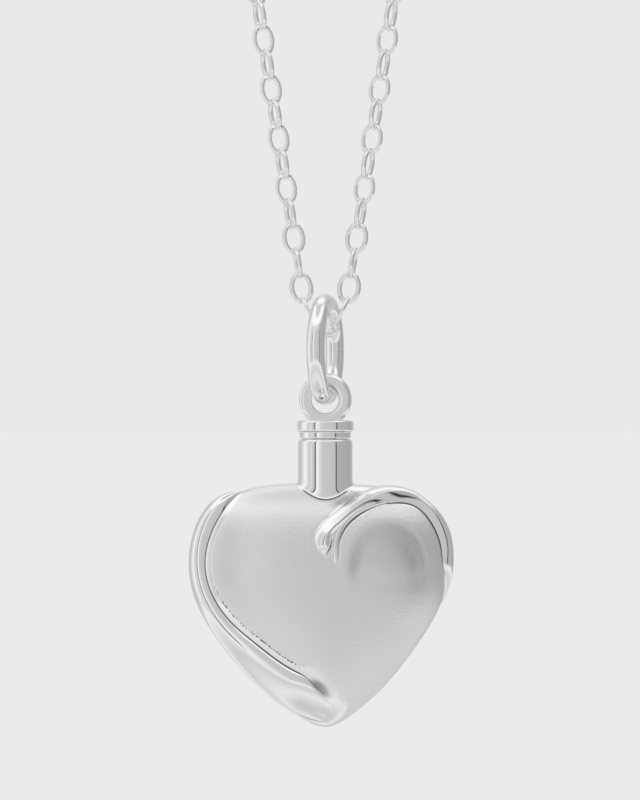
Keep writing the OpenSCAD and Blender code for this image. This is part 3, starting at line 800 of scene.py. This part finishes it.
class PENDANT_OT_heart(bpy.types.Operator):
    """Makes the hollow heart with its ribbons, its dish, its chamber and its collar, as one solid"""

    bl_idname = "pendant.heart"
    bl_label = "Make the heart"

    def execute(self, context):
        heart = settings("pendant_heart")
        front = np.linspace(0, 90, 96)[1:]
        back = np.linspace(90, 180, 26)[1:-1]
        body = puffed("heart", [*front, *back], 378, skin)
        left, left_crease, left_seam = ribbon("left_ribbon", LEFT_RIBBON, 240, 40, LEFT_FLANKS)
        right, right_crease, _ = ribbon("right_ribbon", RIGHT_RIBBON, 240, 32, RIGHT_FLANKS)
        fold, fold_crease, _ = ribbon("fold_ribbon", FOLD_RIBBON, 110, 24, FOLD_FLANKS)
        ground = tree_of(body)
        pieces = [left, right, fold, collar("collar", ground, 96)]
        left_tree = tree_of(left)
        margins = (heart.satin_margin, THIN_MARGIN, THIN_MARGIN, THIN_MARGIN)
        polished = list(zip([tree_of(p) for p in pieces], margins))
        # The seam of the two shells shows along the outer edge of the left ribbon's lower part
        t = np.linspace(0, 1, len(left_seam[0]))
        seam = (left_seam[0], 0.7 * smoothstep(0.35, 0.5, t) * (1 - smoothstep(0.85, 0.95, t)))
        # A line of painted shade along the front of the collar's foot
        foot = collar_foot_shade(ground)
        combined(body, pieces, "UNION")
        # The chamber leaves a little over the wall at the sides, and the wall behind the dish
        scale = 1 - 2.2 * heart.wall / heart.width
        half = heart.depth / 2 - heart.wall - heart.dish
        chamber = puffed(
            "chamber", np.linspace(0, 180, 26)[1:-1], 96, lambda u, f: shell(u, f, scale, half),
        )
        # The bore is cut from inside the chamber out through the collar's mouth
        low, high, bore = heart.height - heart.sleeve - 0.4 * MM, heart.height + 2 * heart.collar_height, heart.bore / 2
        neck = turned("neck", [(0, low), (bore, low), (bore, high), (0, high)], 96)
        combined(body, [chamber, neck], "DIFFERENCE")
        mark_finish(body, polished, [left_crease, right_crease, fold_crease, seam, foot], left_tree)
        co = np.array([v.co for v in body.data.vertices])
        stretch = heart.width / (co[:, 0].max() - co[:, 0].min())
        tip_z = HEART_BOX[1].z - heart.collar_height - heart.height
        body.data.transform(Matrix.Translation((0, 0, tip_z)) @ Matrix.Diagonal((stretch, 1, 1, 1)))
        shade(body.data, 28)
        finished(body, material("satin_and_polished_silver", heart_silver), "heart", "heart_silver", "heart_body")
        return {"FINISHED"}


class PENDANT_OT_stopper(bpy.types.Operator):
    """Makes the eyelet, its foot, the cap disc, the seat ring and the threaded stud, as one solid"""

    bl_idname = "pendant.stopper"
    bl_label = "Make the stopper"

    def execute(self, context):
        s = settings("pendant_stopper")
        eyelet_z = STOPPER_BOX[1].z - s.eyelet / 2
        cap_top = eyelet_z - s.eyelet / 2 + s.sink
        cap_low = cap_top - s.cap_thick
        seat_low = cap_low - s.seat_height
        r, e = s.cap / 2, s.cap_thick * 0.24
        profile = [(0, cap_top)]
        profile += arc((r - e, cap_top - e), e, 90, 0, 8) + arc((r - e, cap_low + e), e, 0, -90, 8)
        profile += [(s.seat / 2 + 0.08 * MM, cap_low)]
        profile += arc((s.seat / 2 + 0.08 * MM, cap_low - 0.08 * MM), 0.08 * MM, 90, 180, 4)[1:]
        profile += arc((s.seat / 2 - 0.1 * MM, seat_low + 0.1 * MM), 0.1 * MM, 0, -90, 4)
        root, end = s.stud / 2 - s.thread, seat_low - 0.2 * MM
        profile += [(root, seat_low), (root, end), (0, end)]
        cap = turned("stopper", profile, 128, smooth_angle=32)
        half, bevel, inner = s.thick / 2, s.bevel, s.bevel * 0.8
        ring = [(s.hole / 2, 0.0)]
        ring += arc((s.hole / 2 + inner, half - inner), inner, 180, 90, 5)
        ring += arc((s.eyelet / 2 - bevel, half - bevel), bevel, 90, 0, 6)
        ring += arc((s.eyelet / 2 - bevel, -half + bevel), bevel, 0, -90, 6)
        ring += arc((s.hole / 2 + inner, -half + inner), inner, -90, -180, 5)
        eyelet = turned("eyelet", ring, 128, axis="Y", middle=(0, 0, eyelet_z), smooth_angle=32)
        foot = self.foot(s, cap_top)
        combined(cap, [eyelet, foot], "UNION")
        hole = turned(
            "hole", [(0, -s.thick), (s.hole / 2, -s.thick), (s.hole / 2, s.thick), (0, s.thick)], 128,
            axis="Y", middle=(0, 0, eyelet_z),
        )
        combined(cap, [hole], "DIFFERENCE")
        combined(cap, [self.stud(s, seat_low)], "UNION")
        shade(cap.data, 30)
        finished(cap, material("polished_silver", polished_silver), "stopper", "polished_silver", "stopper")
        return {"FINISHED"}

    def foot(self, s, cap_top):
        """The small block that joins the eyelet to the cap, with softened edges."""
        bpy.ops.mesh.primitive_cube_add(size=1)
        block = bpy.context.object
        block.name = "foot"
        low, high = cap_top - s.cap_thick / 2, cap_top + s.sink
        block.data.transform(
            Matrix.Translation((0, 0, (low + high) / 2)) @ Matrix.Diagonal((s.foot, s.thick, high - low, 1))
        )
        edge = block.modifiers.new("edge", "BEVEL")
        edge.width, edge.segments = 0.12 * MM, 3
        return baked(block)

    def stud(self, s, seat_low):
        """The stud, whose thread winds down as one helix and fades out at both ends."""
        around, root = 64, s.stud / 2 - s.thread
        top, low = seat_low + 0.2 * MM, seat_low - s.stud_length
        heights = np.arange(top, low, -s.pitch / 10)
        points = []
        for z in heights:
            run_out = smoothstep(0, s.pitch, seat_low - z) * smoothstep(0, 1.2 * s.pitch, z - low)
            narrow = s.thread * 0.6 * (1 - smoothstep(0, s.pitch, z - low))
            for j in range(around):
                turn = (seat_low - z) / s.pitch + j / around
                tooth = 1 - abs(2 * (turn % 1) - 1)
                crest = smoothstep(0.15, 0.85, tooth)
                radius = root + s.thread * crest * run_out - narrow
                a = 2 * math.pi * j / around
                points.append((radius * math.cos(a), radius * math.sin(a), z))
        points += [(0, 0, top), (0, 0, heights[-1])]
        return mesh_object("stud", points, tube_faces(len(heights), around))


class PENDANT_OT_bail(bpy.types.Operator):
    """Makes the round-wire bail with its closed seam"""

    bl_idname = "pendant.bail"
    bl_label = "Make the bail"

    def execute(self, context):
        bail = settings("pendant_bail")
        low, high = BAIL_BOX
        middle = (low + high) / 2
        across, r = (high.z - low.z - bail.wire) / 2, bail.wire / 2
        steps, sides = 144, 36
        angles = list(np.linspace(0, 2 * math.pi, steps, endpoint=False))
        seam = bail.seam_at
        half = bail.seam_width / 2 / across
        angles = [a for a in angles if abs((a - seam + math.pi) % (2 * math.pi) - math.pi) > 3 * half]
        angles = sorted(angles + [(seam + k * half) % (2 * math.pi) for k in (-2, -1, 0, 1, 2)])
        points = []
        for a in angles:
            off = abs((a - seam + math.pi) % (2 * math.pi) - math.pi)
            depth = bail.seam_depth if off < 0.5 * half else 0.0
            for j in range(sides):
                b = 2 * math.pi * j / sides
                # The seam is polished away but for its outer front quarter
                left = smoothstep(0.55, 0.85, math.cos(b - math.radians(70)))
                wire = r - depth * left
                out = across + wire * math.cos(b)
                points.append(Vector((wire * math.sin(b), out * math.cos(a), out * math.sin(a))))
        faces = grid_faces(len(angles), sides, closed_rows=True)
        turn = Matrix.Translation(middle) @ Matrix.Rotation(-bail.turn, 4, "Z")
        made = mesh_object("bail", [turn @ p for p in points], faces, smooth_angle=60)
        finished(made, material("polished_silver", polished_silver), "bail", "polished_silver", "bail_ring")
        return {"FINISHED"}


def link_tree():
    """Geometry Nodes that set an oval link of round wire on each point, turned by the point's own angles."""
    tree = bpy.data.node_groups.new("oval_links", "GeometryNodeTree")
    socket = tree.interface.new_socket
    socket("Geometry", in_out="OUTPUT", socket_type="NodeSocketGeometry")
    socket("Geometry", in_out="INPUT", socket_type="NodeSocketGeometry")
    for name in ("Length", "Width", "Wire"):
        socket(name, in_out="INPUT", socket_type="NodeSocketFloat").subtype = "DISTANCE"
    for name in ("Steps", "Wire Sides"):
        socket(name, in_out="INPUT", socket_type="NodeSocketInt")
    socket("Silver", in_out="INPUT", socket_type="NodeSocketMaterial")
    given = node(tree, "NodeGroupInput").outputs

    ring = node(
        tree, "GeometryNodeCurvePrimitiveCircle", {"Resolution": given["Steps"], "Radius": 0.5}, mode="RADIUS",
    )
    wide, tall = (
        node(tree, "ShaderNodeMath", {0: given[size], 1: given["Wire"]}, operation="SUBTRACT").outputs[0]
        for size in ("Width", "Length")
    )
    shape = node(tree, "ShaderNodeCombineXYZ", {"X": wide, "Y": tall})
    oval = node(
        tree, "GeometryNodeTransform", {"Geometry": ring.outputs["Curve"], "Scale": shape.outputs["Vector"]},
    )
    thick = node(tree, "ShaderNodeMath", {0: given["Wire"], 1: 0.5}, operation="MULTIPLY").outputs[0]
    wire = node(
        tree, "GeometryNodeCurvePrimitiveCircle", {"Resolution": given["Wire Sides"], "Radius": thick}, mode="RADIUS",
    )
    link = node(
        tree, "GeometryNodeCurveToMesh", {"Curve": oval.outputs["Geometry"], "Profile Curve": wire.outputs["Curve"]},
    )
    # The oval is drawn on the floor: stood up along Z, its plane is the one that holds Y
    upright = node(tree, "GeometryNodeTransform", {
        "Geometry": link.outputs["Mesh"], "Rotation": Euler((math.pi / 2, 0, math.pi / 2)),
    })
    turn = node(tree, "GeometryNodeInputNamedAttribute", {"Name": "turn"}, data_type="FLOAT_VECTOR")
    even = node(tree, "GeometryNodeInputNamedAttribute", {"Name": "even"}, data_type="BOOLEAN")
    parts = node(tree, "GeometryNodeSeparateGeometry", {
        "Geometry": given["Geometry"], "Selection": even.outputs["Attribute"],
    }, domain="POINT")
    strands = []
    for out in ("Selection", "Inverted"):
        set_on = node(tree, "GeometryNodeInstanceOnPoints", {
            "Points": parts.outputs[out], "Instance": upright.outputs["Geometry"],
            "Rotation": turn.outputs["Attribute"],
        })
        strands.append(node(tree, "GeometryNodeRealizeInstances", {"Geometry": set_on.outputs["Instances"]}))
    # Every other link touches its neighbours, so one set is fused to the other
    fused = node(tree, "GeometryNodeMeshBoolean", operation="UNION", solver="MANIFOLD")
    for strand in strands:
        tree.links.new(strand.outputs["Geometry"], fused.inputs["Mesh"])
    soft = node(tree, "GeometryNodeSetShadeSmooth", {"Geometry": fused.outputs["Mesh"]})
    real = node(tree, "GeometryNodeRealizeInstances", {"Geometry": soft.outputs["Geometry"]})
    painted = node(tree, "GeometryNodeSetMaterial", {
        "Geometry": real.outputs["Geometry"], "Material": given["Silver"],
    })
    node(tree, "NodeGroupOutput", {"Geometry": painted.outputs["Geometry"]})
    return tree


def chain_route(c):
    """Places and turns of one leg's links from the lowest up, as packed, with the leg's own side to the right."""
    bend_r = (c.width - c.wire) / 2
    link_length = c.pitch + 2 * c.wire + c.play
    hook_r, hook = bend_r - c.wire - c.play, (link_length - c.wire) / 2
    # The first link hooks into the lowest one's bend at this turn
    hook_turn = math.radians(8)
    # Room kept between the first link and the leg, and the links over which the roll sets in at each end
    slack, twist = 0.02 * MM, 5
    first = Vector((
        (link_length - c.width) / 2 + hook_r * math.cos(hook_turn) + hook * math.sin(c.first_lean),
        hook_r * math.sin(hook_turn) + hook * math.cos(c.first_lean),
    ))
    foot = first + (c.pitch / 2 - slack) * Vector((math.sin(c.first_lean), math.cos(c.first_lean)))
    clasp = settings("pendant_clasp")
    ring_r = (CLASP_BOX[1].z - CLASP_BOX[0].z - clasp.tube) / 2
    eye_r = (clasp.eye - clasp.eye_wire) / 2
    pin = (c.wire + c.play) / 2
    left_pin = ring_r - clasp.tube / 2 - c.play - c.wire / 2 + pin
    right_pin = ring_r + 2 * eye_r - clasp.eye_wire / 2 - c.play - c.wire / 2 + pin
    span = left_pin + right_pin
    links = 2 * math.floor((c.total - c.pitch - span) / (4 * c.pitch)) + 1
    run = (links - 1) * c.pitch
    lean = c.lean
    top_r = (2 * run + span + 2 * foot.x / math.sin(lean)) / (2 / math.tan(lean) + math.pi + 2 * lean)
    leg_run = (top_r * math.cos(lean) - foot.x) / math.sin(lean)
    top_z = foot.y + leg_run * math.cos(lean) + top_r * math.sin(lean)

    def route(s):
        if s < leg_run:
            return foot + s * Vector((math.sin(lean), math.cos(lean)))
        a = (s - leg_run) / top_r - lean
        return Vector((top_r * math.cos(a), top_z + top_r * math.sin(a)))

    ring_d = 2 * ring_r + clasp.tube
    low_z = -(route(run).y - ring_d / 2)
    places = [(first, c.first_lean, 0.0)]
    for i in range(2, links + 1):
        a, b = route((i - 2) * c.pitch), route((i - 1) * c.pitch)
        roll = (math.pi / 2 if i % 2 == 0 else 0) + c.roll * min(1, (i - 1) / twist, (links - i) / twist)
        places.append(((a + b) / 2, math.atan2(b.x - a.x, b.y - a.y), roll))
    return places, low_z


class PENDANT_OT_chain(bpy.types.Operator):
    """Makes the two strands of the oval cable chain, each fused from its links"""

    bl_idname = "pendant.chain"
    bl_label = "Make the chain"

    def execute(self, context):
        c = settings("pendant_chain")
        places, low_z = chain_route(c)
        tree = link_tree()
        for name, side in (("chain_left", -1), ("chain_right", 1)):
            spots, turns = [], []
            for place, lean, roll in places:
                spots.append((side * place.x, 0, low_z + place.y))
                turn = Matrix.Rotation(side * lean, 3, "Y") @ Matrix.Rotation(-side * roll, 3, "Z")
                turns.append(turn.to_euler())
            if side > 0:
                # The right strand also has the lowest link, which lies level and carries the bail
                level = Matrix.Rotation(math.pi / 2, 3, "Y") @ Matrix.Rotation(math.pi / 2, 3, "Z")
                spots.insert(0, (0, 0, low_z))
                turns.insert(0, level.to_euler())
            self.strand(name + "_links", spots, turns, tree, c, name)
        return {"FINISHED"}

    def strand(self, name, spots, turns, tree, c, replaced):
        """One strand: links on the points of its route."""
        mesh = bpy.data.meshes.new(name)
        mesh.from_pydata(spots, [], [])
        turn = mesh.attributes.new("turn", "FLOAT_VECTOR", "POINT")
        turn.data.foreach_set("vector", np.array([tuple(t) for t in turns], np.float32).ravel())
        even = mesh.attributes.new("even", "BOOLEAN", "POINT")
        even.data.foreach_set("value", [i % 2 == 0 for i in range(len(spots))])
        made = bpy.data.objects.new(name, mesh)
        bpy.context.scene.collection.objects.link(made)
        links = made.modifiers.new("links", "NODES")
        links.node_group = tree
        values = {
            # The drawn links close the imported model's play, so that each one hangs in the next
            "Length": c.pitch + 2 * c.wire + 0.1 * c.play, "Width": c.width, "Wire": c.wire + 0.6 * c.play,
            "Steps": 14, "Wire Sides": 6, "Silver": material("chain_silver", chain_silver),
        }
        for item in tree.interface.items_tree:
            if item.in_out == "INPUT" and item.name in values:
                links[item.identifier] = values[item.name]
        baked(made)
        finished(made, None, "necklace", "chain_silver", replaced)


class PENDANT_OT_clasp(bpy.types.Operator):
    """Makes the spring ring at the nape with its fixed eye and its thumb knob"""

    bl_idname = "pendant.clasp"
    bl_label = "Make the clasp"

    def execute(self, context):
        s = settings("pendant_clasp")
        low, high = CLASP_BOX
        across = high.z - low.z
        ring_r, eye_r = (across - s.tube) / 2, (s.eye - s.eye_wire) / 2
        middle = Vector((low.x + across / 2, 0, (low.z + high.z) / 2))
        ring = self.ring("clasp_ring", ring_r, s.tube / 2, middle, 96, 24)
        eye = self.ring("clasp_eye", eye_r, s.eye_wire / 2, middle + Vector((ring_r + eye_r, 0, 0)), 48, 16)
        end, r = ring_r + s.knob_length, s.knob / 2
        # A stalk of 0.6 of the knob's width, and a round head
        profile = [(0, ring_r), (r * 0.6, ring_r), (r * 0.6, end - 2.4 * r)]
        profile += arc((r * 0.55, end - 1.9 * r), r * 0.45, -90, 0, 4)
        profile += arc((r * 0.5, end - r * 0.5), r * 0.5, 0, 90, 5)
        profile += [(0, end)]
        knob = turned("clasp_knob", profile, 32)
        way = Matrix.Translation(middle) @ Matrix.Rotation(-s.knob_angle, 4, "Y")
        knob.data.transform(way)
        combined(ring, [eye, knob], "UNION")
        shade(ring.data, 40)
        ring.name = "spring_ring"
        finished(ring, material("chain_silver", chain_silver), "necklace", "chain_silver", "clasp")
        return {"FINISHED"}

    def ring(self, name, across, r, middle, steps, sides):
        """A ring of round wire, flat in the plane of the chain."""
        profile = [(across + x, z) for x, z in arc((0, 0), r, 0, 360, sides)[:-1]]
        return turned(name, profile, steps, axis="Y", middle=middle, smooth_angle=60)


class PENDANT_OT_stage(bpy.types.Operator):
    """Sets the plain floor, the soft light and the camera at the photograph's angle"""

    bl_idname = "pendant.stage"
    bl_label = "Set the stage"

    def execute(self, context):
        stage = settings("pendant_stage")
        scene = bpy.context.scene
        self.floor(stage)
        self.lamp(stage)
        self.tent(stage, scene)
        self.camera(stage, scene)
        scene.view_settings.view_transform = "Standard"
        scene.view_settings.look = "None"
        return {"FINISHED"}

    def floor(self, stage):
        """A wide plain floor under the pendant."""
        # 24 m wide, so that its edge lies far beyond every view
        half = 12.0
        z = CAD_BOX[0].z - stage.floor_drop
        mesh = bpy.data.meshes.new("floor")
        mesh.from_pydata([(-half, -half, z), (half, -half, z), (half, half, z), (-half, half, z)], [], [(0, 1, 2, 3)])
        floor = bpy.data.objects.new("floor", mesh)
        bpy.context.scene.collection.objects.link(floor)
        made = bpy.data.materials.new("matt_paper")
        made.use_nodes = True
        shader = made.node_tree.nodes["Principled BSDF"]
        shader.inputs["Base Color"].default_value = stage.floor
        shader.inputs["Roughness"].default_value = 0.9
        shader.inputs["Specular IOR Level"].default_value = 0.0
        mesh.materials.append(made)
        # The polished silver mirrors the tent's own white floor instead
        floor.visible_glossy = False

    def lamp(self, stage):
        """A wide soft lamp over the floor, which the silver doesn't mirror."""
        data = bpy.data.lights.new("floor_lamp", "SUN")
        data.energy, data.angle = stage.lamp, math.radians(60)
        lamp = bpy.data.objects.new("floor_lamp", data)
        bpy.context.scene.collection.objects.link(lamp)
        lamp.visible_glossy = False

    def tent(self, stage, scene):
        """A light tent: white cloth walls and top, seen by the pendant and not by the camera."""
        world = bpy.data.worlds.new("light_tent")
        scene.world = world
        world.use_nodes = True
        tree = world.node_tree
        tree.nodes.clear()
        add = partial(node, tree)
        soft, colours = {"interpolation_type": "SMOOTHSTEP"}, {"data_type": "RGBA"}
        way = add("ShaderNodeSeparateXYZ", {"Vector": add("ShaderNodeTexCoord").outputs["Generated"]}).outputs
        front = add("ShaderNodeMath", {0: way["Y"], 1: -1.0}, operation="MULTIPLY").outputs[0]
        turn = add("ShaderNodeMath", {0: way["X"], 1: front}, operation="ARCTAN2").outputs[0]
        rise = add("ShaderNodeMath", {0: way["Z"]}, operation="ARCSINE").outputs[0]
        turn, rise = (
            add("ShaderNodeMath", {0: radians, 1: 180 / math.pi}, operation="MULTIPLY").outputs[0]
            for radians in (turn, rise)
        )
        # Walls by their turn and floor by its depth, each as stops along a colour ramp
        ramps = []
        down = [(-degrees, light) for degrees, light in TENT_FLOOR]
        for value, scale, start, levels in ((turn, 1 / 360, 0.5, TENT_WALLS), (rise, -1 / 90, 0.0, down)):
            along = add("ShaderNodeMath", {0: value, 1: scale, 2: start}, operation="MULTIPLY_ADD").outputs[0]
            ramp = add("ShaderNodeValToRGB", {"Fac": along})
            stops = ramp.color_ramp.elements
            while len(stops) > 1:
                stops.remove(stops[-1])
            for i, (degrees, light) in enumerate(levels):
                place = degrees * scale + start
                stop = stops[0] if i == 0 else stops.new(place)
                stop.position, stop.color = place, (light, light, light, 1)
            ramps.append(ramp.outputs["Color"])
        cloth, floor = ramps
        for low, high, light in TENT_LAYERS:
            part = add("ShaderNodeMapRange", {"Value": rise, "From Min": low, "From Max": high}, **soft).outputs[0]
            cloth = add(
                "ShaderNodeMix", {"Factor": part, "A": cloth, "B": (light, light, light, 1)}, **colours,
            ).outputs["Result"]
        # Distance in degrees from the rounded line of the opening's frame
        side = add("ShaderNodeMath", {0: turn, 1: FRAME_TURN}, operation="SUBTRACT").outputs[0]
        side = add("ShaderNodeMath", {0: side}, operation="ABSOLUTE").outputs[0]
        side = add("ShaderNodeMath", {0: side, 1: FRAME_SIDE}, operation="SUBTRACT").outputs[0]
        top = add("ShaderNodeMath", {0: rise, 1: FRAME_TOP}, operation="SUBTRACT").outputs[0]
        off = add("ShaderNodeMath", {0: side, 1: top, 2: FRAME_CORNER}, operation="SMOOTH_MAX").outputs[0]
        off = add("ShaderNodeMath", {0: off}, operation="ABSOLUTE").outputs[0]
        line, low = (
            add("ShaderNodeMapRange", {"Value": value, "From Min": start, "From Max": end}, **soft).outputs[0]
            for value, start, end in ((off, FRAME_LINE, 0.3 * FRAME_LINE), (rise, *FRAME_FADE))
        )
        low = add("ShaderNodeMath", {0: low, 1: FRAME_FAINT}, operation="MAXIMUM").outputs[0]
        line = add("ShaderNodeMath", {0: line, 1: low}, operation="MULTIPLY").outputs[0]
        dark = (FRAME_LIGHT, FRAME_LIGHT, FRAME_LIGHT, 1)
        cloth = add("ShaderNodeMix", {"Factor": line, "A": cloth, "B": dark}, **colours).outputs["Result"]
        below = add(
            "ShaderNodeMapRange", {"Value": rise, "From Min": FLOOR_EDGE[0], "From Max": FLOOR_EDGE[1]}, **soft,
        ).outputs[0]
        cloth = add("ShaderNodeMix", {"Factor": below, "A": cloth, "B": floor}, **colours).outputs["Result"]
        tent = add("ShaderNodeBackground", {"Color": cloth})
        plain = add("ShaderNodeBackground", {"Color": stage.backdrop})
        seen = add("ShaderNodeLightPath").outputs["Is Camera Ray"]
        both = add("ShaderNodeMixShader", {0: seen, 1: tent.outputs[0], 2: plain.outputs[0]})
        add("ShaderNodeOutputWorld", {"Surface": both.outputs["Shader"]})

    def camera(self, stage, scene):
        """A level, long lens in front, framed as the photograph is."""
        data = bpy.data.cameras.new("camera")
        data.sensor_fit = "VERTICAL"
        data.sensor_height = 36.0
        data.lens = data.sensor_height * stage.camera_distance / stage.view_height
        data.clip_start, data.clip_end = 0.01, 50
        made = bpy.data.objects.new("camera", data)
        made.location = (LENS_SIDE, -stage.camera_distance, CAD_BOX[0].z + LENS_ABOVE)
        made.rotation_euler = (math.pi / 2, 0, 0)
        scene.collection.objects.link(made)
        scene.camera = made


class PENDANT_PT_panel(bpy.types.Panel):
    """Sizes, colours and the steps of making the pendant"""

    bl_label = "Urn Pendant"
    bl_space_type = "VIEW_3D"
    bl_region_type = "UI"
    bl_category = "Pendant"

    def draw(self, context):
        for name in GROUPS:
            box = self.layout.box()
            box.label(text=name.replace("_", " ").capitalize())
            group = getattr(context.scene, name)
            for key in group.bl_rna.properties.keys():
                if key not in ("rna_type", "name"):
                    box.prop(group, key)
        for step in OPERATORS:
            self.layout.operator(step.bl_idname)


OPERATORS = (
    PENDANT_OT_stage, PENDANT_OT_chain, PENDANT_OT_clasp, PENDANT_OT_bail, PENDANT_OT_stopper, PENDANT_OT_heart,
)


def register():
    """Adds the property groups, the operators and the panel to Blender."""
    for name, group in GROUPS.items():
        bpy.utils.register_class(group)
        setattr(bpy.types.Scene, name, bpy.props.PointerProperty(type=group))
    for step in OPERATORS:
        bpy.utils.register_class(step)
    bpy.utils.register_class(PENDANT_PT_panel)


def unregister():
    """Takes them away again."""
    bpy.utils.unregister_class(PENDANT_PT_panel)
    for step in reversed(OPERATORS):
        bpy.utils.unregister_class(step)
    for name, group in GROUPS.items():
        delattr(bpy.types.Scene, name)
        bpy.utils.unregister_class(group)


def main():
    """Makes every piece in order."""
    register()
    for step in OPERATORS:
        group, name = step.bl_idname.split(".")
        getattr(getattr(bpy.ops, group), name)()


if __name__ == "__main__":
    main()
